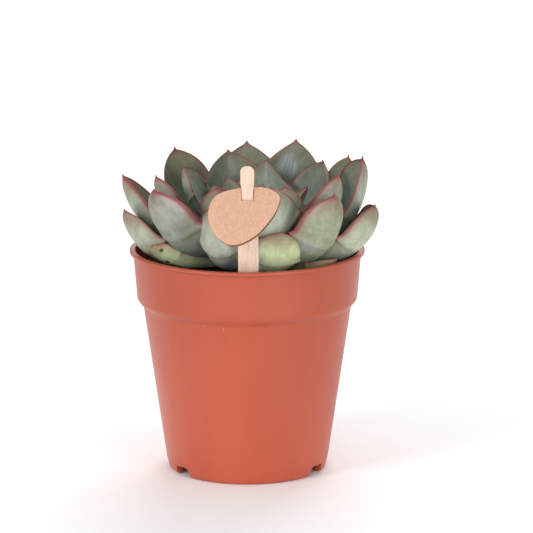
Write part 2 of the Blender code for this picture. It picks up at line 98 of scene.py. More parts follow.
def light(colour):
    """A colour as it looks, turned into the linear light that a shader takes."""
    parts = [part / 255 for part in colour]
    return (*[part / 12.92 if part < 0.04 else ((part + 0.055) / 1.055) ** 2.4 for part in parts], 1.0)


def start_material(name, roughness, specular=0.5):
    """A Principled material and its node tree, with its plain numbers on the shader's own sockets."""
    material = bpy.data.materials.new(name)
    material.use_nodes = True
    shader = material.node_tree.nodes["Principled BSDF"]
    shader.inputs["Roughness"].default_value = roughness
    shader.inputs["Specular IOR Level"].default_value = specular
    return material, material.node_tree, shader


def put(tree, kind, sockets, **settings):
    """A new node with its settings, and its sockets, by name or number, linked or set."""
    node = tree.nodes.new(kind)
    for key, value in settings.items():
        setattr(node, key, value)
    for key, value in sockets.items():
        if isinstance(value, bpy.types.NodeSocket):
            tree.links.new(value, node.inputs[key])
        else:
            node.inputs[key].default_value = value
    return node


def stretched(tree, place, scale):
    return put(tree, "ShaderNodeMapping", {"Vector": place, "Scale": scale}).outputs["Vector"]


def place_on(tree, scale=(1, 1, 1)):
    """Object coordinates stretched by a scale along each axis."""
    return stretched(tree, put(tree, "ShaderNodeTexCoord", {}).outputs["Object"], scale)


def grain(tree, place, scale, detail=3.0, rough=0.55):
    """A cloudy pattern from 0 to 1: the scale says how many grains go into a metre."""
    sockets = {"Vector": place, "Scale": scale, "Detail": detail, "Roughness": rough}
    return put(tree, "ShaderNodeTexNoise", sockets).outputs["Fac"]


def between(tree, value, low, high, start=0.0, end=1.0):
    """The value's share of the way from low to high, eased at both ends, and then from start to end."""
    sockets = {"Value": value, "From Min": low, "From Max": high, "To Min": start, "To Max": end}
    return put(tree, "ShaderNodeMapRange", sockets, interpolation_type="SMOOTHSTEP").outputs["Result"]


def sums(tree, how, first, second):
    return put(tree, "ShaderNodeMath", {0: first, 1: second}, operation=how).outputs["Value"]


def times(tree, first, second):
    return sums(tree, "MULTIPLY", first, second)


def blend_colours(tree, share, first, second, how="MIX"):
    """The blend of two colours, each a socket or a colour as it looks."""
    first, second = [c if isinstance(c, bpy.types.NodeSocket) else light(c) for c in (first, second)]
    sockets = {0: share, 6: first, 7: second}
    return put(tree, "ShaderNodeMix", sockets, data_type="RGBA", blend_type=how).outputs[2]


def raise_skin(tree, shader, height, distance, strength):
    bump = put(tree, "ShaderNodeBump", {"Height": height, "Distance": distance, "Strength": strength})
    tree.links.new(bump.outputs["Normal"], shader.inputs["Normal"])


def pot_plastic():
    """Satin plastic: slow flow marks down the wall, small pale scuffs and soil dust under the lip."""
    material, tree, shader = start_material("terracotta_plastic", 0.38, 0.55)
    flow = grain(tree, place_on(tree, (1, 1, 0.25)), 34.0, 4.0)
    cloud = grain(tree, place_on(tree), 11.0, 2.0)
    where = put(tree, "ShaderNodeTexCoord", {})
    height = put(tree, "ShaderNodeSeparateXYZ", {"Vector": where.outputs["Object"]}).outputs["Z"]
    marks = between(tree, sums(tree, "ADD", flow, cloud), 0.75, 1.3, 0.0, 0.35)
    # Painted shade: besides the flow marks, the colour darkens from the foot up towards the lip
    share = sums(tree, "ADD", marks, between(tree, height, 0.0, 0.1, 0.0, 0.65))
    colour = blend_colours(tree, share, POT_COLOUR, POT_FLOW_AND_PAINTED_SHADE)
    scuff_area = between(tree, grain(tree, place_on(tree), 26.0, 2.0), 0.6, 0.72)
    scratch = between(tree, grain(tree, place_on(tree, (1, 1, 0.45)), 520.0, 2.0), 0.66, 0.76)
    scuffs = times(tree, times(tree, scuff_area, scratch), 0.5)
    colour = blend_colours(tree, scuffs, colour, POT_SCUFF)
    near_lip = between(tree, height, 0.09, 0.099)
    specks = between(tree, grain(tree, place_on(tree), 900.0, 2.0), 0.66, 0.72)
    dust = times(tree, times(tree, near_lip, specks), 0.55)
    colour = blend_colours(tree, dust, colour, POT_DUST)
    tree.links.new(colour, shader.inputs["Base Color"])
    tree.links.new(between(tree, flow, 0.3, 0.7, 0.34, 0.42), shader.inputs["Roughness"])
    raise_skin(tree, shader, grain(tree, place_on(tree), 1400.0, 2.0), 0.00004, 0.5)
    return material


def wall_radius(height):
    """The outer radius of the wall and collar at a height."""
    if height >= COLLAR_FOOT_HEIGHT:
        share = (height - COLLAR_FOOT_HEIGHT) / (POT_HEIGHT - LIP_THICKNESS - COLLAR_FOOT_HEIGHT)
        return COLLAR_FOOT_RADIUS + share * (COLLAR_TOP_RADIUS - COLLAR_FOOT_RADIUS)
    if height >= STEP_FOOT_HEIGHT:
        share = (height - STEP_FOOT_HEIGHT) / STEP_DEPTH
        return WALL_TOP_RADIUS + (COLLAR_FOOT_RADIUS - WALL_TOP_RADIUS) * math.sin(share * math.pi / 2) ** 1.5
    share = (height - FLOOR_HEIGHT) / (STEP_FOOT_HEIGHT - FLOOR_HEIGHT)
    return WALL_FOOT_RADIUS + share * (WALL_TOP_RADIUS - WALL_FOOT_RADIUS)


def quarter(centre, radius, start, end, steps=5):
    """Points on a round between two straight runs, from one angle to another in degrees."""
    turns = [math.radians(start + (end - start) * i / steps) for i in range(steps + 1)]
    return [(centre[0] + radius * math.cos(turn), centre[1] + radius * math.sin(turn)) for turn in turns]


def pot_outline():
    """Radius and height from under the floor, down the skirt, up the outside and down the inside."""
    skirt = FOOT_RADIUS - FOOT_ROUND - WALL
    outline = [(skirt + SKIRT_DRAFT, FLOOR_HEIGHT), (skirt + 0.1, 0.3), (skirt + 0.4, 0.0)]
    foot = quarter((FOOT_RADIUS - FOOT_ROUND, FOOT_ROUND), FOOT_ROUND, -90, 0, 7)
    outline += [(radius + FOOT_FLARE * height / FOOT_ROUND, height) for radius, height in foot]
    heights = [FLOOR_HEIGHT, 22, 40, 58, STEP_FOOT_HEIGHT - 0.4]
    heights += [STEP_FOOT_HEIGHT + STEP_DEPTH * i / STEP_SLICES for i in range(1, STEP_SLICES)]
    lip_foot = POT_HEIGHT - LIP_THICKNESS
    heights += [COLLAR_FOOT_HEIGHT + 0.5, 85, 92, lip_foot - 0.3]
    outline += [(wall_radius(height), height) for height in heights]
    outline += [(COLLAR_TOP_RADIUS + 0.3, lip_foot)]
    outline += quarter((LIP_RADIUS - LIP_ROUND, lip_foot + LIP_ROUND), LIP_ROUND, -90, 0)
    outline += quarter((LIP_RADIUS - LIP_ROUND, POT_HEIGHT - LIP_ROUND), LIP_ROUND, 0, 90)
    inside = COLLAR_TOP_RADIUS - WALL
    outline += quarter((inside + LIP_ROUND, POT_HEIGHT - LIP_ROUND), LIP_ROUND, 90, 180)
    inner_foot = FLOOR_HEIGHT + FLOOR_THICKNESS
    heights = [96, 90, COLLAR_FOOT_HEIGHT, STEP_KNEE_HEIGHT, STEP_FOOT_HEIGHT, 50, 25, inner_foot + 1.0]
    outline += [(wall_radius(height) - WALL, height) for height in heights]
    outline.append((wall_radius(inner_foot) - WALL - 1.0, inner_foot))
    return outline


def deselect():
    bpy.ops.object.select_all(action="DESELECT")


def select_only(piece):
    deselect()
    bpy.context.view_layer.objects.active = piece
    piece.select_set(True)


def apply_place():
    bpy.ops.object.transform_apply(location=True, rotation=True, scale=True)


def drawn_out(name, outline, sides):
    """A disc drawn out ring by ring along an outline of radius and height, closed at both ends."""
    radius, height = outline[0]
    deselect()
    bpy.ops.mesh.primitive_circle_add(
        vertices=sides, radius=radius * MM, fill_type="NGON", location=(0, 0, height * MM)
    )
    piece = bpy.context.object
    piece.name = name
    apply_place()
    bpy.ops.object.mode_set(mode="EDIT")
    for new_radius, new_height in outline[1:]:
        rise = (0, 0, (new_height - height) * MM)
        bpy.ops.mesh.extrude_region_move(TRANSFORM_OT_translate={"value": rise})
        share = new_radius / radius
        bpy.ops.transform.resize(value=(share, share, 1), center_override=(0, 0, new_height * MM))
        radius, height = new_radius, new_height
    bpy.ops.mesh.select_all(action="SELECT")
    bpy.ops.mesh.normals_make_consistent(inside=False)
    bpy.ops.object.mode_set(mode="OBJECT")
    return piece


def cut_away(piece, tool):
    """Cuts the tool's shape out of the piece, and takes the tool away."""
    boolean = piece.modifiers.new("cut", "BOOLEAN")
    boolean.operation = "DIFFERENCE"
    boolean.object = tool
    select_only(piece)
    bpy.ops.object.modifier_apply(modifier=boolean.name)
    bpy.data.objects.remove(tool)


def smooth_by_angle(piece, degrees):
    select_only(piece)
    bpy.ops.object.shade_smooth_by_angle(angle=math.radians(degrees))


def notch_tool(azimuth):
    """A block across the skirt whose two upper edges are rounded."""
    deselect()
    bpy.ops.mesh.primitive_cube_add(size=MM, location=(0, 0, 0))
    tool = bpy.context.object
    tool.scale = (NOTCH_WIDTH, NOTCH_DEPTH, 2 * NOTCH_HEIGHT)
    tool.rotation_euler = (0, 0, math.radians(azimuth))
    tool.location = at_azimuth(FOOT_RADIUS - 2.0, azimuth, 0) * MM
    apply_place()
    mesh = bmesh.new()
    mesh.from_mesh(tool.data)
    side = at_azimuth(1.0, azimuth, 0)
    top = [e for e in mesh.edges if min(v.co.z for v in e.verts) > 0]
    along = [e for e in top if abs((e.verts[0].co - e.verts[1].co).normalized().dot(side)) > 0.9]
    bmesh.ops.bevel(mesh, geom=along, offset=NOTCH_ROUND * MM, segments=6, profile=0.5, affect="EDGES")
    mesh.to_mesh(tool.data)
    mesh.free()
    return tool


def drain_tool(centre):
    """A round punch through the floor, deep enough to pass it on both sides."""
    deselect()
    bpy.ops.mesh.primitive_cylinder_add(
        vertices=DRAIN_SIDES, radius=DRAIN_RADIUS * MM, depth=8 * MM, location=centre * MM
    )
    apply_place()
    return bpy.context.object


pot = drawn_out("nursery_pot", pot_outline(), POT_SIDES)
for azimuth in NOTCH_AZIMUTHS:
    cut_away(pot, notch_tool(azimuth))
cut_away(pot, drain_tool(Vector((0, 0, FLOOR_HEIGHT))))
for i in range(DRAIN_RING_COUNT):
    cut_away(pot, drain_tool(at_azimuth(DRAIN_RING_RADIUS, 360 * i / DRAIN_RING_COUNT, FLOOR_HEIGHT)))
smooth_by_angle(pot, HARD_EDGE_ANGLE)
pot.data.materials.append(pot_plastic())
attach(pot, "root")
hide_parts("pot")

# Potting soil
# Dark peat mix pressed into the pot, banked up against the front wall and heaped up by the rim at two
# places. The stem stands in it, the label's stick was pushed into it, and crumbs and fibres lie on it.

SOIL_LEVEL = 91.0
SOIL_RELIEF = 0.42
BANK_HEIGHT = 4.6
BANK_AZIMUTH = -10.0
BANK_SPREAD = 38.0
BANK_START_RADIUS = 38.0
SOIL_GAP = 0.3
SOIL_RINGS = 46
SOIL_SIDES = 160
SOFT_EDGE_ANGLE = 60
LUMP_HEIGHT = 0.55
STREWN_FROM = 13.0
STREWN_TO = 48.6
CRUMB_COUNT = 900
CRUMB_SIZES = (0.35, 1.3)
CRUMB_SEED = 17
FIBRE_COUNT = 60
FIBRE_LENGTHS = (3.0, 9.0)
FIBRE_RADIUS = 0.09
FIBRE_SHAPE = (1.0, 0.35, 0.35)
FIBRE_SEED = 5

# The heaps by the rim: radius, azimuth, height and spread
HEAPS = ((48.0, 8.5, 7.9, 2.5), (47.0, -22.0, 5.4, 3.0))

PEAT_DARK = (40, 30, 24)
PEAT_BROWN = (104, 76, 54)
PEAT_PALE = (168, 124, 92)


def soil_height(x, y):
    """The soil's surface at a place: its broad relief, the bank in front, the lumps and the heaps."""
    relief = math.sin(0.31 * x + 0.4) * math.cos(0.27 * y) - 0.6 * math.sin(0.53 * y - 0.37 * x - 1.1)
    radius = math.hypot(x, y)
    away = (math.degrees(math.atan2(x, -y)) - BANK_AZIMUTH + 180) % 360 - 180
    rise = max(0.0, (radius - BANK_START_RADIUS) / (COLLAR_TOP_RADIUS - WALL - BANK_START_RADIUS))
    bank = BANK_HEIGHT * math.exp(-((away / BANK_SPREAD) ** 2)) * rise ** 1.3
    lumps = LUMP_HEIGHT * noise.fractal(Vector((x, y, 0)) * 0.35, 0.8, 2.0, 4)
    for at_radius, azimuth, height, spread in HEAPS:
        far = (Vector((x, y, 0)) - at_azimuth(at_radius, azimuth, 0)).length
        lumps += height * math.exp(-((far / spread) ** 2))
    return SOIL_LEVEL + SOIL_RELIEF * relief + bank + lumps


def peat():
    """Crumbly peat: dark and brown grains with a few paler fibres, quite rough."""
    material, tree, shader = start_material("peat_mix", 0.95, 0.25)
    fine = grain(tree, place_on(tree), 900.0, 5.0, 0.7)
    broad = grain(tree, place_on(tree), 160.0, 3.0)
    colour = blend_colours(tree, between(tree, broad, 0.35, 0.7), PEAT_DARK, PEAT_BROWN)
    colour = blend_colours(tree, between(tree, fine, 0.56, 0.76), colour, PEAT_PALE)
    tree.links.new(colour, shader.inputs["Base Color"])
    raise_skin(tree, shader, fine, 0.0005, 0.8)
    return material


def soil_outline():
    """Radius and height from the plug's underside, up along the pot's wall and in over the top."""
    foot = FLOOR_HEIGHT + FLOOR_THICKNESS + SOIL_GAP
    heights = [foot, STEP_FOOT_HEIGHT, STEP_KNEE_HEIGHT, COLLAR_FOOT_HEIGHT]
    outline = [(wall_radius(height) - WALL - SOIL_GAP, height) for height in heights]
    rim = wall_radius(SOIL_LEVEL) - WALL - SOIL_GAP
    outline.append((rim, SOIL_LEVEL - 2.0))
    outline += [(rim * (1 - i / SOIL_RINGS), SOIL_LEVEL) for i in range(SOIL_RINGS)]
    return outline


def crumb_pattern():
    """One lump of peat: a small faceted ball pressed out of shape."""
    deselect()
    bpy.ops.mesh.primitive_ico_sphere_add(subdivisions=2, radius=MM, location=(0, 0, 0))
    crumb = bpy.context.object
    for vertex in crumb.data.vertices:
        vertex.co *= 1 + 0.38 * noise.noise(vertex.co * 900 + Vector((3, 1, 4)))
    return crumb


def fibre_pattern():
    """One stray root fibre: a thin five-sided rod along X, cut into four lengths."""
    deselect()
    bpy.ops.mesh.primitive_cylinder_add(vertices=5, radius=FIBRE_RADIUS * MM, depth=MM, location=(0, 0, 0))
    fibre = bpy.context.object
    fibre.rotation_euler = (0, math.radians(90), 0)
    apply_place()
    bpy.ops.object.mode_set(mode="EDIT")
    for share in (-0.25, 0.0, 0.25):
        bpy.ops.mesh.select_all(action="SELECT")
        bpy.ops.mesh.bisect(plane_co=(share * MM, 0, 0), plane_no=(1, 0, 0))
    bpy.ops.object.mode_set(mode="OBJECT")
    return fibre


def strewn(name, pattern, count, sizes, shape, draw):
    """Copies of a pattern strewn over the soil between the stem and the wall, joined as one piece.

    With a shape given they lie nearly flat, and without one they are turned and pressed every way.
    """
    loose = bmesh.new()
    for _ in range(count):
        radius = math.sqrt(draw.uniform(STREWN_FROM ** 2, STREWN_TO ** 2))
        place = at_azimuth(radius, draw.uniform(0, 360), 0)
        size = draw.uniform(*sizes) * draw.uniform(0.5, 1.0)
        place.z = soil_height(place.x, place.y) + 0.1 * size
        if shape is None:
            turn = [draw.uniform(0, 2 * math.pi) for _ in range(3)]
            stretch = [draw.uniform(0.6, 1.2) for _ in range(3)]
        else:
            turn = (draw.uniform(-0.15, 0.15), draw.uniform(-0.2, 0.2), draw.uniform(0, 2 * math.pi))
            stretch = shape
        matrix = Matrix.LocRotScale(place * MM, Euler(turn), [size * part for part in stretch])
        first = len(loose.verts)
        loose.from_mesh(pattern.data)
        loose.verts.ensure_lookup_table()
        for vertex in loose.verts[first:]:
            vertex.co = matrix @ vertex.co
    mesh = bpy.data.meshes.new(name)
    loose.to_mesh(mesh)
    loose.free()
    piece = bpy.data.objects.new(name, mesh)
    bpy.context.scene.collection.objects.link(piece)
    bpy.data.objects.remove(pattern)
    return piece


soil = drawn_out("peat_plug", soil_outline(), SOIL_SIDES)
for vertex in soil.data.vertices:
    if vertex.co.z > (SOIL_LEVEL - 0.5) * MM:
        vertex.co.z = soil_height(vertex.co.x / MM, vertex.co.y / MM) * MM
smooth_by_angle(soil, SOFT_EDGE_ANGLE)
draw = random.Random(CRUMB_SEED)
crumbs = strewn("peat_crumbs", crumb_pattern(), CRUMB_COUNT, CRUMB_SIZES, None, draw)
draw = random.Random(FIBRE_SEED)
fibres = strewn("peat_fibres", fibre_pattern(), FIBRE_COUNT, FIBRE_LENGTHS, FIBRE_SHAPE, draw)
peat_mix = peat()
for piece in (soil, crumbs, fibres):
    piece.data.materials.append(peat_mix)
    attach(piece, "root")
    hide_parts("potting_soil")

# Stem
# The short thick stem that the plant grew, standing in the soil. Dry rings on its bark show where older
# leaves were shed, and the living leaves cover all the rest of it.

STEM_PROFILE = ((8.0, 76.0), (8.6, 92.0), (8.0, 104.0), (7.0, 112.0), (4.4, 117.0), (1.8, 119.5))
STEM_RING_PITCH = 2.2
STEM_RING_DEPTH = 0.35
STEM_SIDES = 40

BARK = (128, 112, 84)
BARK_SCAR = (84, 62, 44)


def stem_outline():
    """Radius and height up the stem, with a ring at each level where leaves were shed."""
    outline = []
    for (radius, height), (next_radius, next_height) in zip(STEM_PROFILE, STEM_PROFILE[1:]):
        steps = max(1, round((next_height - height) / (STEM_RING_PITCH / 4)))
        for i in range(steps):
            share = i / steps
            level = height + share * (next_height - height)
            ring = STEM_RING_DEPTH * math.sin(level / STEM_RING_PITCH * 2 * math.pi)
            ring *= min(1.0, (120 - level) / 8)
            outline.append((radius + share * (next_radius - radius) + ring, level))
    outline.append(STEM_PROFILE[-1])
    return outline


def bark():
    """Dry bark with darker bands round it."""
    material, tree, shader = start_material("stem_bark", 0.8, 0.3)
    bands = grain(tree, place_on(tree, (0.4, 0.4, 3)), 260.0, 3.0)
    colour = blend_colours(tree, between(tree, bands, 0.4, 0.65), BARK, BARK_SCAR)
    tree.links.new(colour, shader.inputs["Base Color"])
    raise_skin(tree, shader, bands, 0.0003, 0.6)
    return material


stem = drawn_out("stem", stem_outline(), STEM_SIDES)
smooth_by_angle(stem, SOFT_EDGE_ANGLE)
stem.data.materials.append(bark())
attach(stem, "root")
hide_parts("rosette")

# Leaves
# Thick fleshy blades that grew one after the other round the stem, each a golden turn further on. Their
# wax is pale on the outer face and thin on the inner one, and the margins and points blush crimson.

GOLDEN_TURN = 137.5
OLDEST_AZIMUTH = -47.5
LEAF_COUNT = 44
SHED_LEAVES = (1, 2, 3, 4, 5, 8)

# How sizes change with a leaf's number: the tip's distance from the axis and height, the width, the
# root's distance and height, the thickness, and how far out and up the middle of the arch is pulled
SIZE_CURVES = {
    "reach": (
        (0, 51), (11, 43), (13, 57), (20, 56), (22, 53), (25, 47), (27, 44), (30, 37), (33, 27), (36, 14),
        (43, 3),
    ),
    "rise": (
        (0, 109), (6, 102), (11, 116), (14, 122), (17, 135), (22, 139), (27, 139), (33, 134.5),
        (36, 129.5), (43, 123),
    ),
    "width": ((0, 18), (6, 17), (11, 29), (14, 31), (25, 31), (30, 29), (33, 25), (35, 15), (43, 5)),
    "root_radius": ((0, 4.0), (33, 4.0), (43, 0.8)),
    "root_height": ((0, 95), (11, 95), (14, 96), (17, 98), (24, 103.5), (30, 108), (36, 113), (43, 117)),
    "thickness": ((0, 4.0), (13, 5.0), (24, 5.1), (30, 4.3), (36, 3.0), (43, 2.0)),
    "arch_out": ((0, 0.82), (17, 0.87), (33, 0.86), (36, 0.6), (43, 0.3)),
    "arch_up": ((0, 0.08), (11, -0.03), (22, -0.01), (27, 0.07), (33, 0.13), (43, 0.3)),
}
CUP = 0.21

# What single leaves have in place of that, where a neighbour, the rim or the label has bent them
BENT_LEAVES = {
    0: {"azimuth": -60.5, "reach": 48.5, "rise": 106.5, "width": 14.5, "roll": 37, "shoulder": 3.3},
    6: {"azimuth": 52.5, "reach": 49, "rise": 101.5, "width": 15.5, "roll": -5, "cup": 0.14},
    7: {"reach": 49, "rise": 114, "width": 26},
    9: {"reach": 52, "rise": 117, "width": 27},
    10: {"reach": 52, "rise": 118, "width": 27},
    11: {
        "azimuth": 19.5, "reach": 44.5, "rise": 116.5, "width": 24.5, "root_height": 96, "roll": -12,
        "cup": 0.08, "arch_out": 0.88, "arch_up": -0.2, "shoulder": 4.3,
    },
    12: {"reach": 54, "rise": 121, "width": 29},
    13: {
        "azimuth": -75.5, "reach": 56.5, "rise": 121, "width": 26.5, "roll": 5, "cup": 0.24, "arch_out": 0.81,
        "arch_up": -0.1, "shoulder": 3.7,
    },
    14: {
        "azimuth": 74, "reach": 59, "rise": 123.5, "width": 28.5, "roll": 6, "cup": 0.3, "arch_out": 0.9,
        "shoulder": 5.2,
    },
    15: {"reach": 56, "rise": 127},
    16: {
        "azimuth": -18, "reach": 47, "rise": 128.5, "width": 29, "roll": -12, "cup": 0.45, "arch_out": 0.8,
        "shoulder": 1.7,
    },
    17: {
        "azimuth": 125.5, "rise": 136.5, "width": 29.5, "roll": -4, "cup": 0.12, "arch_out": 1.0,
        "shoulder": 4,
    },
    18: {"azimuth": -95, "rise": 133, "width": 32, "roll": 7, "cup": 0.25, "arch_out": 0.73},
    19: {
        "azimuth": 43.5, "reach": 55.5, "rise": 133, "width": 26.5, "roll": 4, "cup": 0.33, "arch_out": 0.94,
        "arch_up": -0.08, "shoulder": 4.4,
    },
    20: {"azimuth": 180.5, "reach": 57, "rise": 138.5, "width": 38.5, "roll": 7, "cup": 0.23, "shoulder": 2},
    21: {
        "azimuth": -49.5, "reach": 53.5, "rise": 134, "width": 28.5, "roll": -4, "cup": 0.33,
        "arch_out": 0.81, "shoulder": 4.4,
    },
    22: {
        "azimuth": 96, "reach": 52, "rise": 141, "width": 36, "roll": 4, "cup": 0.2, "arch_out": 0.94,
        "arch_up": -0.09, "shoulder": 5.5,
    },
    23: {
        "azimuth": -135.5, "reach": 47.5, "rise": 140, "width": 30.5, "roll": 6, "arch_out": 0.9,
        "shoulder": 4.2,
    },
    24: {
        "azimuth": 15, "reach": 42, "rise": 136, "width": 33, "roll": 12, "cup": 0.3, "arch_out": 0.9,
        "shoulder": 2.2,
    },
    25: {
        "azimuth": 152.5, "reach": 48, "rise": 142, "width": 32, "roll": 20, "arch_out": 0.97,
        "shoulder": 2.1,
    },
    26: {
        "azimuth": -75.5, "reach": 42, "rise": 135.5, "width": 25, "roll": 8, "cup": 0.18, "arch_out": 0.75,
        "shoulder": 4.1,
    },
    27: {"azimuth": 62.5, "reach": 45, "rise": 138, "width": 26.5, "roll": -4, "arch_out": 0.94},
    28: {
        "azimuth": -165.5, "reach": 36, "rise": 138.5, "width": 30.5, "roll": 12, "cup": 0.41,
        "arch_out": 0.81, "arch_up": 0.12, "shoulder": 2.3,
    },
    29: {
        "azimuth": -19.5, "reach": 39.5, "rise": 135.5, "width": 22.5, "roll": 19, "cup": 0.27,
        "arch_out": 0.66, "shoulder": 2,
    },
    30: {"azimuth": 113, "rise": 137.5, "width": 31.5, "arch_out": 0.95, "arch_up": 0.07, "shoulder": 3},
    31: {
        "azimuth": -116, "reach": 32, "rise": 135, "width": 36, "roll": 20, "cup": 0.18, "arch_out": 0.75,
        "shoulder": 3,
    },
    32: {"azimuth": 30.5, "reach": 34, "rise": 134, "roll": -12, "shoulder": 1.7},
    33: {"azimuth": 162, "reach": 28, "rise": 135.5, "width": 26, "arch_out": 1.0, "shoulder": 1.1},
    34: {"reach": 18, "rise": 131, "width": 20},
    35: {
        "azimuth": 89, "reach": 27, "rise": 128.5, "width": 14, "roll": 10, "arch_out": 0.8,
        "shoulder": 1.8,
    },
    36: {"azimuth": -142, "reach": 15, "rise": 130, "width": 15, "shoulder": 1.8},
}

# The blade's form from its root at 0 to its tip at 1
PATTERN_LENGTH = 55.0
PATTERN_WIDTH = 30.0
PATTERN_THICKNESS = 5.0
LEAF_SIDES = 32
LEAF_RINGS = 46
ROOT_SHARE = 0.34
BROADEST_AT = 0.6
SHOULDER = 2.6
BLUNTNESS = 0.75
BLADE_END = 0.98
SPIKE_SHARE = 0.06
REACH_SHARE = 0.996
THICKEST_AT = 0.45
ROOT_THICKNESS_SHARE = 0.65
TIP_THICKNESS_SHARE = 0.22
TIP_CONE_START = 0.93
THINNEST = 0.004
UPPER_SHARE = 0.32
EDGE_SHARE = 0.2
BOW_CENTRE = 0.3
WAVE_LENGTH = 11
WAVE_HEIGHT = 0.5
MARGIN_WAVE = 0.35

# Marks on single leaves: what kind, on which face (1 inner, -1 outer), how far along, how far across,
# how long and how broad in millimetres, and how strong
MARK_KINDS = ("scar", "olive", "bloom")
LEAF_MARKS = {
    0: [
        ("scar", -1, 0.86, 0.5, 1.5, 1.0, 1.0), ("scar", -1, 0.68, 0.0, 1.7, 1.1, 1.0),
        ("scar", -1, 0.94, 0.85, 1.0, 0.7, 0.6), ("scar", -1, 0.41, -0.05, 2.0, 1.3, 0.7),
    ],
    11: [
        ("scar", -1, 0.92, 0.65, 0.8, 0.6, 0.9), ("bloom", -1, 0.85, 0.12, 2.0, 0.8, 0.5),
        ("bloom", -1, 0.64, -0.5, 3.0, 3.0, 1.0), ("bloom", -1, 0.6, -0.1, 1.5, 4.0, 0.6),
    ],
    16: [
        ("olive", -1, 0.63, 0.18, 1.6, 1.3, 1.0), ("olive", -1, 0.72, 0.12, 3.0, 2.0, 0.3),
        ("olive", -1, 0.76, -0.4, 2.6, 2.0, 0.5), ("olive", -1, 0.61, -0.6, 1.4, 1.2, 0.9),
    ],
    19: [("bloom", -1, 0.9, -0.93, 4.0, 1.0, 0.9), ("bloom", -1, 0.6, -0.55, 3.5, 3.0, 0.8)],
    # Leaf 21's two bloom marks by the tip are wax bloom and a painted sheen as well
    21: [
        ("olive", -1, 0.62, 0.7, 3.0, 2.0, 1.0), ("olive", -1, 0.56, 0.5, 2.0, 1.3, 0.6),
        ("bloom", -1, 0.93, 0.8, 3.0, 1.3, 0.9), ("bloom", -1, 0.88, 0.9, 4.0, 1.2, 0.9),
    ],
    24: [("olive", -1, 0.75, 0.85, 3.5, 2.0, 0.8)],
    25: [
        ("bloom", 1, 0.86, 0.35, 3.0, 2.2, 1.0), ("bloom", 1, 0.8, 0.05, 3.5, 1.8, 0.9),
        ("bloom", 1, 0.8, 0.45, 3.5, 1.8, 0.8),
    ],
    28: [("bloom", 1, 0.86, -0.25, 2.5, 0.8, 0.8), ("bloom", 1, 0.79, -0.25, 2.0, 0.8, 0.6)],
    # Leaf 33's first bloom mark, long and narrow, is wax bloom and a painted highlight as well
    33: [("bloom", 1, 0.79, 0.07, 5.0, 0.7, 1.0), ("bloom", 1, 0.73, -0.85, 2.0, 1.5, 0.6)],
}

# How far the sun has turned a leaf olive, how waxy it is, how red its margins are, and how much its root and
# middle are painted lighter or darker: painted light and shade, with some of the leaf's own tone
TONE_KINDS = ("sunned", "waxy", "blush", "pale")
PLAIN_TONE = (0.3, 0.4, 0.6, 0.4)
LEAF_TONES = {
    0: (1.0, 0.1, 0.5, 1.3), 6: (0.8, 0.1, 0.4, 1.2), 11: (0.85, 0.4, 0.5, 2.1), 13: (0.3, 0.4, 0.5, 0.6),
    14: (0.4, 0.3, 0.8, 0.8), 16: (0.1, 0.7, 0.8, 0.9), 17: (0.7, 0.2, 0.6, 0.55), 18: (0.4, 0.3, 1.0, 0.6),
    19: (0.9, 0.3, 0.9, 0.3), 20: (0.4, 0.3, 0.5, 0.7), 21: (0.1, 0.6, 1.0, 0.2), 22: (0.1, 0.4, 0.9, 0.6),
    23: (0.8, 0.1, 0.8, 0.2), 24: (0.2, 0.6, 0.6, 1.0), 25: (0.4, 0.4, 0.4, 0.0), 26: (0.1, 0.5, 0.9, 0.3),
    27: (0.2, 0.6, 0.9, 0.35), 28: (0.2, 0.4, 0.4, 0.3), 30: (0.0, 0.4, 0.6, 0.3), 31: (0.2, 0.4, 0.8, 0.6),
    32: (0.3, 0.3, 0.6, 0.6), 33: (0.2, 0.5, 0.5, 0.7), 35: (0.1, 0.4, 1.0, 0.4), 36: (0.5, 0.4, 0.7, 0.5),
}

OUTER_BASE = (142, 156, 148)
OUTER_MIDDLE = (155, 162, 148)
OUTER_TIP = (139, 118, 100)
INNER_BASE = (112, 116, 98)
INNER_MIDDLE = (116, 128, 115)
INNER_TIP = (134, 134, 118)
OLIVE_TINT = (248, 255, 202)
OLIVE_SPOT = (104, 112, 68)
MARGIN_RED = (132, 66, 66)
MARGIN_TAN = (138, 104, 88)
MARGIN_BLUSH = (150, 122, 104)
POINT_RED = (132, 58, 62)
STREAK_TINT = (236, 210, 190)
WAX_BLUE = (170, 176, 184)
SHADOW_TINT = (200, 200, 196)
SCAR_BROWN = (92, 62, 44)


def growth(curve, number):
    """The value for a leaf's number on a curve of (number, value) pairs, straight between them."""
    for (low, start), (high, end) in zip(curve, curve[1:]):
        if number <= high:
            return start + (end - start) * (number - low) / (high - low)
    return curve[-1][1]


def leaf_habit(number):
    """A leaf's place, sizes and bends: what its number gives, or else what it has of its own."""
    habit = {kind: growth(curve, number) for kind, curve in SIZE_CURVES.items()}
    habit.update(azimuth=OLDEST_AZIMUTH + GOLDEN_TURN * number, cup=CUP, shoulder=SHOULDER, roll=0.0)
    habit.update(BENT_LEAVES.get(number, {}))
    return habit


def width_share(along, shoulder):
    """The blade's width along it: a narrow root, broad shoulders and a blunt end with a short spike."""
    if along <= BROADEST_AT:
        part = along / BROADEST_AT
        return ROOT_SHARE + (1 - ROOT_SHARE) * part * part * (3 - 2 * part)
    part = min(1.0, (along - BROADEST_AT) / (BLADE_END - BROADEST_AT))
    blade = (1 - part ** shoulder) ** BLUNTNESS
    return max(THINNEST, blade, SPIKE_SHARE * (1 - along) / (1 - BLADE_END))


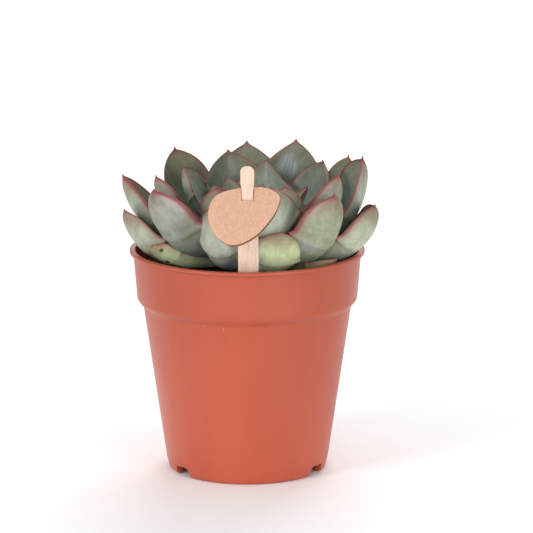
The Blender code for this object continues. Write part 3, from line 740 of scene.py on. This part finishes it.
def thickness_share(along):
    """The blade's thickness along it: fullest at the middle, then thinner, with a cone at the tip."""
    cone = min(1.0, (1 - along) / (1 - TIP_CONE_START)) ** 0.6
    if along < THICKEST_AT:
        return ROOT_THICKNESS_SHARE + (1 - ROOT_THICKNESS_SHARE) * along / THICKEST_AT
    part = (along - THICKEST_AT) / (1 - THICKEST_AT)
    return max(THINNEST, (1 - (1 - TIP_THICKNESS_SHARE) * part ** 1.5) * cone)


def leaf_stations():
    """Shares of the length, closer together towards the tip."""
    return [1 - (1 - i / LEAF_RINGS) ** 1.4 for i in range(LEAF_RINGS)] + [0.9995]


def pattern_leaf():
    """A straight flat blade standing on its root: a ring drawn out and narrowed at each station.

    X runs across it from margin to margin, Y towards its inner face and Z along it.
    """
    deselect()
    radius = PATTERN_WIDTH / 2 * ROOT_SHARE * MM
    bpy.ops.mesh.primitive_circle_add(vertices=LEAF_SIDES, radius=radius, fill_type="NGON")
    leaf = bpy.context.object
    for vertex in leaf.data.vertices:
        across = max(-1.0, min(1.0, vertex.co.x / radius))
        inner = vertex.co.y > 0
        share = UPPER_SHARE if inner else 1 - UPPER_SHARE
        lens = EDGE_SHARE * (1 - across ** 8) ** 0.5 + (1 - EDGE_SHARE) * (1 - across ** 2)
        if abs(vertex.co.y) < 1e-7:
            lens = 0.0
        depth = PATTERN_THICKNESS * ROOT_THICKNESS_SHARE * share * lens * MM
        vertex.co.y = depth if inner else -depth
    bpy.ops.object.mode_set(mode="EDIT")
    bpy.ops.mesh.select_all(action="SELECT")
    before = 0.0
    for along in leaf_stations()[1:]:
        rise = (0, 0, (along - before) * PATTERN_LENGTH * MM)
        bpy.ops.mesh.extrude_region_move(TRANSFORM_OT_translate={"value": rise})
        wider = width_share(along, SHOULDER) / width_share(before, SHOULDER)
        thicker = thickness_share(along) / thickness_share(before)
        middle = (0, 0, along * PATTERN_LENGTH * MM)
        bpy.ops.transform.resize(value=(wider, thicker, 1), center_override=middle)
        before = along
    bpy.ops.mesh.merge(type="CENTER")
    bpy.ops.mesh.select_all(action="SELECT")
    bpy.ops.mesh.normals_make_consistent(inside=False)
    bpy.ops.object.mode_set(mode="OBJECT")
    leaf.data.shade_smooth()
    return leaf


def arch_place(habit, along):
    """The arch's point at a share of its length, and there the ways across and to the inner face."""
    out = at_azimuth(1.0, habit["azimuth"], 0.0)
    up = Vector((0, 0, 1))
    side = up.cross(out)
    root = Vector((habit["root_radius"], habit["root_height"]))
    tip = Vector((habit["reach"] * REACH_SHARE, habit["rise"]))
    pull = Vector((habit["arch_out"] * tip.x, root.y + habit["arch_up"] * (tip.y - root.y)))
    rest = 1 - along
    point = rest * rest * root + 2 * along * rest * pull + along * along * tip
    way = (2 * rest * (pull - root) + 2 * along * (tip - pull)).normalized()
    inner = up * way.x - out * way.y
    roll = math.radians(habit["roll"]) * along
    across = side * math.cos(roll) + inner * math.sin(roll)
    face = inner * math.cos(roll) - side * math.sin(roll)
    return out * point.x + up * point.y, across, face


def mark_strength(number, kind, face, along, across, length, half):
    """How strong a leaf's marks of one kind are at a place on its inner (1) or outer (-1) face."""
    value = 0.0
    for mark, on_face, at_along, at_across, long, broad, strength in LEAF_MARKS.get(number, []):
        if mark == kind and on_face == face:
            down = (along - at_along) * length / long
            aside = (across - at_across) * half / broad
            value += strength * math.exp(-(down ** 2 + aside ** 2))
    return min(1.0, value)


def grown_leaf(number, pattern):
    """A copy of the pattern, bent to the leaf's own form, with the measures of its skin on it."""
    habit = leaf_habit(number)
    mesh = pattern.data.copy()
    name = f"leaf_{number:02d}"
    mesh.name = name
    root = Vector((habit["root_radius"], habit["root_height"]))
    length = (root - Vector((habit["reach"], habit["rise"]))).length
    measures = {kind: [] for kind in ("edge", "inner", *MARK_KINDS)}
    shares = []
    for vertex in mesh.vertices:
        along = max(0.0, min(1.0, vertex.co.z / (PATTERN_LENGTH * MM)))
        across = vertex.co.x / (PATTERN_WIDTH / 2 * width_share(along, SHOULDER) * MM)
        across = max(-1.0, min(1.0, across))
        depth = vertex.co.y / MM * habit["thickness"] / PATTERN_THICKNESS
        half = habit["width"] / 2 * width_share(along, habit["shoulder"])
        centre, side, face = arch_place(habit, along)
        seed = Vector((number * 7.3, across * 1.3, along * length / WAVE_LENGTH))
        wave = WAVE_HEIGHT * noise.noise(seed) + MARGIN_WAVE * noise.noise(seed * 2.1) * abs(across) ** 3
        wave *= min(1.0, half / 6) * (1 - along ** 6)
        bow = habit["cup"] * 2 * half * (across * across - BOW_CENTRE)
        vertex.co = (centre + side * (half * across) + face * (bow + depth + wave)) * MM
        shares.append((across, along))
        measures["edge"].append((1 - abs(across)) * half)
        measures["inner"].append(max(0.0, min(1.0, 0.5 + depth * 2.5)))
        on_face = 1 if depth > 0 else -1
        for kind in MARK_KINDS:
            measures[kind].append(mark_strength(number, kind, on_face, along, across, length, half))
    measures["number"] = [number] * len(mesh.vertices)
    for kind, value in zip(TONE_KINDS, LEAF_TONES.get(number, PLAIN_TONE)):
        measures[kind] = [value] * len(mesh.vertices)
    for kind, values in measures.items():
        layer = mesh.attributes.new(kind, "FLOAT", "POINT")
        layer.data.foreach_set("value", values)
    blade = mesh.uv_layers.new(name="blade")
    for loop in mesh.loops:
        across, along = shares[loop.vertex_index]
        blade.data[loop.index].uv = (0.5 + 0.5 * across, along)
    leaf = bpy.data.objects.new(name, mesh)
    bpy.context.scene.collection.objects.link(leaf)
    return leaf


def leaf_skin():
    """Waxy skin that reads each blade's own measures, so that streaks, margin and marks follow it."""
    material, tree, shader = start_material("leaf_skin", 0.5, 0.3)
    blade = put(tree, "ShaderNodeUVMap", {}, uv_map="blade")
    share = put(tree, "ShaderNodeSeparateXYZ", {"Vector": blade.outputs["UV"]})
    along = share.outputs["Y"]
    measure = {}
    for kind in ("number", "edge", "inner", *MARK_KINDS, *TONE_KINDS):
        measure[kind] = put(tree, "ShaderNodeAttribute", {}, attribute_name=kind).outputs["Fac"]
    own = put(tree, "ShaderNodeCombineXYZ", {"X": share.outputs["X"], "Y": along, "Z": measure["number"]})
    own = own.outputs["Vector"]
    broad_streaks = grain(tree, stretched(tree, own, (4, 1.3, 3.7)), 1.0, 3.0, 0.6)
    fine_streaks = grain(tree, stretched(tree, own, (26, 3.5, 5.3)), 1.0, 3.0, 0.6)
    even = place_on(tree)
    mottle = grain(tree, even, 230.0, 4.0, 0.7)
    fine = grain(tree, even, 620.0, 3.0, 0.7)

    # Both faces from root to tip, made lighter or darker by painted light, turned olive by the sun and
    # browned in streaks
    outer = blend_colours(tree, between(tree, along, 0.3, 0.62), OUTER_BASE, OUTER_MIDDLE)
    outer = blend_colours(tree, between(tree, along, 0.78, 1.0), outer, OUTER_TIP)
    inner = blend_colours(tree, between(tree, along, 0.2, 0.6), INNER_BASE, INNER_MIDDLE)
    inner = blend_colours(tree, between(tree, along, 0.7, 1.0), inner, INNER_TIP)
    skin = blend_colours(tree, measure["inner"], outer, inner)
    # Painted light and shade: the pale measure scales each leaf's root and middle lighter or darker, less
    # towards the tip
    fade = between(tree, along, 0.72, 0.95, 1.0, 0.1)
    paler = times(tree, sums(tree, "SUBTRACT", measure["pale"], 0.4), fade)
    painted_light_scale = sums(tree, "ADD", 1.0, paler)
    skin = put(tree, "ShaderNodeVectorMath", {0: skin, "Scale": painted_light_scale}, operation="SCALE")
    sunned = times(tree, measure["sunned"], between(tree, broad_streaks, 0.3, 0.7, 0.35, 1.0))
    skin = blend_colours(tree, sunned, skin.outputs["Vector"], OLIVE_TINT, "MULTIPLY")
    shadow = between(tree, mottle, 0.35, 0.65, 0.55, 0.0)
    skin = blend_colours(tree, shadow, skin, SHADOW_TINT, "MULTIPLY")
    brown = times(tree, measure["sunned"], between(tree, measure["inner"], 0.0, 1.0, 0.12, 0.8))
    brown = times(tree, brown, between(tree, fine_streaks, 0.48, 0.7))
    skin = blend_colours(tree, brown, skin, STREAK_TINT, "MULTIPLY")

    # The bluish wax, with places where it lies thicker and spots where it is gone
    wax = times(tree, between(tree, broad_streaks, 0.38, 0.72), between(tree, mottle, 0.3, 0.65, 0.4, 1.0))
    wax = sums(tree, "ADD", wax, between(tree, fine_streaks, 0.35, 0.6, 0.25, 0.0))
    wax = sums(tree, "ADD", wax, between(tree, along, 0.4, 0.72, 0.8, 0.0))
    wax = times(tree, times(tree, wax, measure["waxy"]), 0.36)
    skin = blend_colours(tree, wax, skin, WAX_BLUE)
    bloom = times(tree, measure["bloom"], between(tree, fine_streaks, 0.3, 0.6, 0.35, 1.0))
    skin = blend_colours(tree, times(tree, bloom, 0.75), skin, WAX_BLUE)
    olive = times(tree, measure["olive"], between(tree, mottle, 0.3, 0.6, 0.5, 1.0))
    skin = blend_colours(tree, times(tree, olive, 0.75), skin, OLIVE_SPOT)

    # The red line along the margin, the tan flesh beside it and the red point
    wander = times(tree, sums(tree, "SUBTRACT", grain(tree, even, 260.0, 2.0), 0.5), 0.7)
    edge = sums(tree, "ADD", measure["edge"], wander)
    upper = between(tree, along, 0.35, 0.62)
    red = blend_colours(tree, measure["blush"], MARGIN_TAN, MARGIN_RED)
    blush = times(tree, between(tree, edge, 0.5, 3.4, 0.6, 0.0), upper)
    skin = blend_colours(tree, blush, skin, MARGIN_BLUSH)
    line = sums(tree, "DIVIDE", edge, sums(tree, "ADD", measure["blush"], 0.2))
    line = times(tree, between(tree, line, 0.35, 1.35, 0.95, 0.0), upper)
    skin = blend_colours(tree, line, skin, red)
    point = times(tree, between(tree, along, 0.94, 0.985), measure["blush"])
    skin = blend_colours(tree, point, skin, POINT_RED)

    # Brown corky scars
    scar = between(tree, times(tree, measure["scar"], sums(tree, "ADD", fine, 0.5)), 0.35, 0.6)
    skin = blend_colours(tree, scar, skin, SCAR_BROWN)
    tree.links.new(skin, shader.inputs["Base Color"])
    tree.links.new(between(tree, mottle, 0.3, 0.7, 0.56, 0.42), shader.inputs["Roughness"])
    relief = sums(tree, "ADD", times(tree, fine, 0.6), sums(tree, "ADD", mottle, fine_streaks))
    raise_skin(tree, shader, relief, 0.00014, 0.6)
    return material


pattern = pattern_leaf()
skin_material = leaf_skin()
for number in range(LEAF_COUNT):
    if number in SHED_LEAVES:
        continue
    leaf = grown_leaf(number, pattern)
    leaf.data.materials.append(skin_material)
    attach(leaf, "root")
    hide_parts("rosette")
bpy.data.objects.remove(pattern)

# Label stick
# A flat strip of pale sawn wood, cut by a die: broad where it stands in the soil, with shoulders that carry
# the tag, a narrow neck and a round head. It is pushed into the soil behind the front rim.

STICK_THICKNESS = 1.1
STICK_LENGTH = 110.9
STICK_WIDTH = 8.9
STICK_POINT_LENGTH = 9.0
STICK_POINT_WIDTH = 1.2
STICK_SHOULDER = 94.5
SHOULDER_ROUND = 1.2
NECK_WIDTH = 4.9
NECK_END = 102.0
NECK_BLEND = 1.6
NECK_STEPS = 8
HEAD_WIDTH = 6.0
HEAD_ROUND = 2.6
STICK_FOOT = (1.45, -36.1, 37.0)
STICK_LEAN = 8.0
STICK_SIDE_LEAN = -0.62
WOOD_EDGE = 0.12

PALE_WOOD = (222, 196, 178)
PALE_WOOD_GRAIN = (208, 178, 156)


def sawn_wood(name, pale, dark, along, fine_scale):
    """Pale wood: fine streaks along the grain and short pores."""
    material, tree, shader = start_material(name, 0.7, 0.3)
    streak = grain(tree, place_on(tree, along), fine_scale, 4.0, 0.6)
    broad = grain(tree, place_on(tree, [part * 0.3 for part in along]), fine_scale, 2.0)
    pores = grain(tree, place_on(tree, [part * 2.2 for part in along]), fine_scale, 3.0, 0.7)
    colour = blend_colours(tree, between(tree, streak, 0.4, 0.68), pale, dark)
    colour = blend_colours(tree, between(tree, broad, 0.3, 0.8, 0.0, 0.35), colour, dark)
    pore_share = between(tree, pores, 0.62, 0.76, 0.0, 0.3)
    colour = blend_colours(tree, pore_share, colour, [part * 0.82 for part in dark])
    tree.links.new(colour, shader.inputs["Base Color"])
    raise_skin(tree, shader, sums(tree, "ADD", streak, pores), 0.0001, 0.5)
    return material


def finish_edges(piece, width):
    """Breaks the sharp edges with a small bevel."""
    bevel = piece.modifiers.new("edges", "BEVEL")
    bevel.width = width * MM
    bevel.segments = 2
    bevel.limit_method = "ANGLE"
    bevel.angle_limit = math.radians(HARD_EDGE_ANGLE)
    select_only(piece)
    bpy.ops.object.modifier_apply(modifier=bevel.name)


def stick_turn():
    return Euler((math.radians(STICK_LEAN), math.radians(STICK_SIDE_LEAN), 0.0))


def flat_plate(name, outline, thickness):
    """An outline of (across, up) filled as a face and drawn out to its thickness, standing in X and Z."""
    deselect()
    bpy.ops.mesh.primitive_circle_add(vertices=len(outline), radius=MM, fill_type="NGON")
    plate = bpy.context.object
    plate.name = name
    for vertex, (x, z) in zip(plate.data.vertices, outline):
        vertex.co = (x * MM, -thickness / 2 * MM, z * MM)
    bpy.ops.object.mode_set(mode="EDIT")
    bpy.ops.mesh.select_all(action="SELECT")
    bpy.ops.mesh.extrude_region_move(TRANSFORM_OT_translate={"value": (0, thickness * MM, 0)})
    bpy.ops.mesh.select_all(action="SELECT")
    bpy.ops.mesh.normals_make_consistent(inside=False)
    bpy.ops.object.mode_set(mode="OBJECT")
    return plate


def stick_outline():
    """The stick's outline from its point: the right side up to the middle of the head, then mirrored."""
    half = STICK_WIDTH / 2
    head = HEAD_WIDTH / 2
    neck = NECK_WIDTH / 2
    side = [(STICK_POINT_WIDTH / 2, 0.0), (half, STICK_POINT_LENGTH)]
    side += quarter((half - SHOULDER_ROUND, STICK_SHOULDER - SHOULDER_ROUND), SHOULDER_ROUND, 0, 90)
    side += [(neck + 0.5, STICK_SHOULDER), (neck, STICK_SHOULDER + 0.6)]
    for i in range(NECK_STEPS + 1):
        share = i / NECK_STEPS
        ease = share * share * (3 - 2 * share)
        side.append((neck + (head - neck) * ease, NECK_END + NECK_BLEND * (2 * share - 1)))
    side += quarter((head - HEAD_ROUND, STICK_LENGTH - HEAD_ROUND), HEAD_ROUND, 0, 90, 12)
    return side + [(-x, y) for x, y in reversed(side)]


stick = flat_plate("wooden_stick", stick_outline(), STICK_THICKNESS)
finish_edges(stick, WOOD_EDGE)
stick.rotation_euler = stick_turn()
stick.location = Vector(STICK_FOOT) * MM
apply_place()
smooth_by_angle(stick, HARD_EDGE_ANGLE)
stick.data.materials.append(sawn_wood("pale_wood", PALE_WOOD, PALE_WOOD_GRAIN, (1, 1, 0.06), 1500.0))
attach(stick, "root")
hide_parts("label_stick")

# Label tag
# A thin rounded three-cornered plate of bare wood veneer, laser-cut, with a darker brown lower right
# edge. The stick's neck is threaded through its slit, so that it hangs on the shoulders and leans back.

TAG_THICKNESS = 0.7
TAG_SLIT_LEFT = -2.6
TAG_SLIT_RIGHT = 2.85
TAG_SLIT_HEIGHT = 4.8
TAG_HANG = 97.8
TAG_LEAN = 19.0
CORNER_STEPS = 12
TAG_OUTLINE = (
    (-0.3, 3.35), (7.5, 3.2), (12.2, 1.3), (14.1, -2.05), (11.8, -8.8), (5.3, -17.0), (-1.1, -21.1),
    (-5.9, -22.35), (-9.7, -21.1), (-14.3, -16.8), (-17.0, -9.4), (-15.3, -2.25), (-10.2, 1.45),
)

# The darker lower right rim and edges: width, least share, growth, where rim and edges start, and the way
DARK_RIM_WIDTH = 0.7
LEAST_DARK_RIM = 0.04
DARK_RIM_GROWTH = 1.7
RIM_DARKENED_FROM = 0.35
EDGE_DARKENED_FROM = 0.34
DARKENED_WAY = Vector((0.42, 0.0, -0.91))

TAG_WOOD = (203, 163, 140)
TAG_WOOD_GRAIN = (190, 144, 116)
# The darker brown of the lower right rim and edges
DARK_EDGE_WOOD = (122, 80, 62)
DARK_EDGE_WOOD_GRAIN = (103.7, 68, 52.7)


def rounded(corners, steps):
    """A closed smooth line that runs through every corner."""
    line = []
    for i in range(len(corners)):
        a, b, c, d = [Vector(corners[(i + k) % len(corners)]) for k in (-1, 0, 1, 2)]
        for step in range(steps):
            t = step / steps
            bend = 2 * b + (c - a) * t
            bend += (2 * a - 5 * b + 4 * c - d) * t ** 2
            bend += (3 * b - a - 3 * c + d) * t ** 3
            line.append(tuple(bend / 2))
    return line


def front_face(mesh):
    return max(mesh.polygons, key=lambda face: -face.normal.y * face.area)


def darken_lower_right_rim(plate, width):
    """A darker band round the plate's front rim, widest at the lower right, and darker edge faces there."""
    mesh = plate.data
    front = front_face(mesh).index
    select_only(plate)
    bpy.ops.object.mode_set(mode="EDIT")
    bpy.ops.mesh.select_mode(type="FACE")
    bpy.ops.mesh.select_all(action="DESELECT")
    bpy.ops.object.mode_set(mode="OBJECT")
    mesh.polygons[front].select = True
    bpy.ops.object.mode_set(mode="EDIT")
    bpy.ops.mesh.inset(thickness=width * MM, depth=0)
    bpy.ops.mesh.select_mode(type="VERT")
    bpy.ops.object.mode_set(mode="OBJECT")
    inner = set(front_face(mesh).vertices)
    for face in mesh.polygons:
        on_rim = face.normal.y < -0.9 and len(face.vertices) == 4
        face.material_index = int(on_rim or face.normal.dot(DARKENED_WAY) > EDGE_DARKENED_FROM)
    for edge in mesh.edges:
        inside = [i for i in edge.vertices if i in inner]
        outside = [i for i in edge.vertices if i not in inner]
        if len(inside) == 1:
            start = mesh.vertices[outside[0]].co.copy()
            step = mesh.vertices[inside[0]].co - start
            share = -step.normalized().dot(DARKENED_WAY)
            share = max(LEAST_DARK_RIM, min(1.0, DARK_RIM_GROWTH * (share - RIM_DARKENED_FROM)))
            mesh.vertices[inside[0]].co = start + step * share


tag = flat_plate("wooden_tag", rounded(TAG_OUTLINE, CORNER_STEPS), TAG_THICKNESS)
tag.data.materials.append(sawn_wood("tag_wood", TAG_WOOD, TAG_WOOD_GRAIN, (1, 1, 0.35), 2400.0))
# Darker brown along the lower right rim and edges
tag.data.materials.append(sawn_wood("darker_edge_wood", DARK_EDGE_WOOD, DARK_EDGE_WOOD_GRAIN, (1, 1, 1), 900.0))
darken_lower_right_rim(tag, DARK_RIM_WIDTH)
deselect()
bpy.ops.mesh.primitive_cube_add(size=MM, location=((TAG_SLIT_LEFT + TAG_SLIT_RIGHT) / 2 * MM, 0, 0))
slit = bpy.context.object
slit.scale = (TAG_SLIT_RIGHT - TAG_SLIT_LEFT, 3 * TAG_THICKNESS, TAG_SLIT_HEIGHT)
apply_place()
cut_away(tag, slit)
finish_edges(tag, WOOD_EDGE)
hang = Vector(STICK_FOOT) + stick_turn().to_matrix() @ Vector((0, 0, TAG_HANG))
tag.rotation_euler = (math.radians(-TAG_LEAN), 0.0, 0.0)
tag.location = hang * MM
apply_place()
smooth_by_angle(tag, HARD_EDGE_ANGLE)
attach(tag, "root")
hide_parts("label_tag")

# Camera, floor and light
# A long lens looks along +Y and a little down at the plant, which stands on a plain white floor in even
# studio light.

CAMERA_DISTANCE = 1600.0
CAMERA_ELEVATION = 12.4
CAMERA_AIM = (8.6, 0.0, 91.47)
FOCAL_PIXELS = 3578.3
FRAME_PIXELS = 533
SENSOR_WIDTH = 36.0
FLOOR_SIZE = 12
FLOOR_WHITE = (250, 250, 250)
ROOM_WHITE = (255, 255, 255)
ROOM_LIGHT = 0.68

camera_data = bpy.data.cameras.new("camera")
camera = bpy.data.objects.new("camera", camera_data)
bpy.context.scene.collection.objects.link(camera)
camera_data.sensor_width = SENSOR_WIDTH
camera_data.lens = FOCAL_PIXELS / FRAME_PIXELS * SENSOR_WIDTH
tilt = math.radians(CAMERA_ELEVATION)
back = Vector((0, -math.cos(tilt), math.sin(tilt)))
camera.location = (Vector(CAMERA_AIM) + back * CAMERA_DISTANCE) * MM
camera.rotation_euler = (math.radians(90) - tilt, 0, 0)
camera_data.clip_end = 20
bpy.context.scene.camera = camera

deselect()
bpy.ops.mesh.primitive_plane_add(size=FLOOR_SIZE, location=(0, 0, 0))
floor = bpy.context.object
floor.name = "floor"
floor_material, _, floor_shader = start_material("floor_paint", 0.9, 0.2)
floor_shader.inputs["Base Color"].default_value = light(FLOOR_WHITE)
floor.data.materials.append(floor_material)


def soft_light(name, place, aim, size, power):
    """A square white lamp at a place, turned to what it is aimed at."""
    data = bpy.data.lights.new(name, "AREA")
    data.shape = "SQUARE"
    data.size = size
    data.energy = power
    lamp = bpy.data.objects.new(name, data)
    bpy.context.scene.collection.objects.link(lamp)
    lamp.location = place
    lamp.rotation_euler = (Vector(aim) - Vector(place)).to_track_quat("-Z", "Y").to_euler()


soft_light("key", (-1.8, -1.5, 1.1), (0, 0, 0.1), 0.7, 20)
soft_light("fill", (1.3, -1.9, 0.45), (0, 0, 0.1), 1.0, 17)
soft_light("front", (-0.4, -2.4, 0.5), (0, 0, 0.1), 1.0, 10)
soft_light("back", (0.3, 1.6, 1.5), (0, 0, 0.0), 1.4, 22)

world = bpy.data.worlds.new("studio")
world.use_nodes = True
background = world.node_tree.nodes["Background"]
background.inputs["Color"].default_value = light(ROOM_WHITE)
background.inputs["Strength"].default_value = ROOM_LIGHT
bpy.context.scene.world = world
bpy.context.scene.view_settings.view_transform = "Standard"
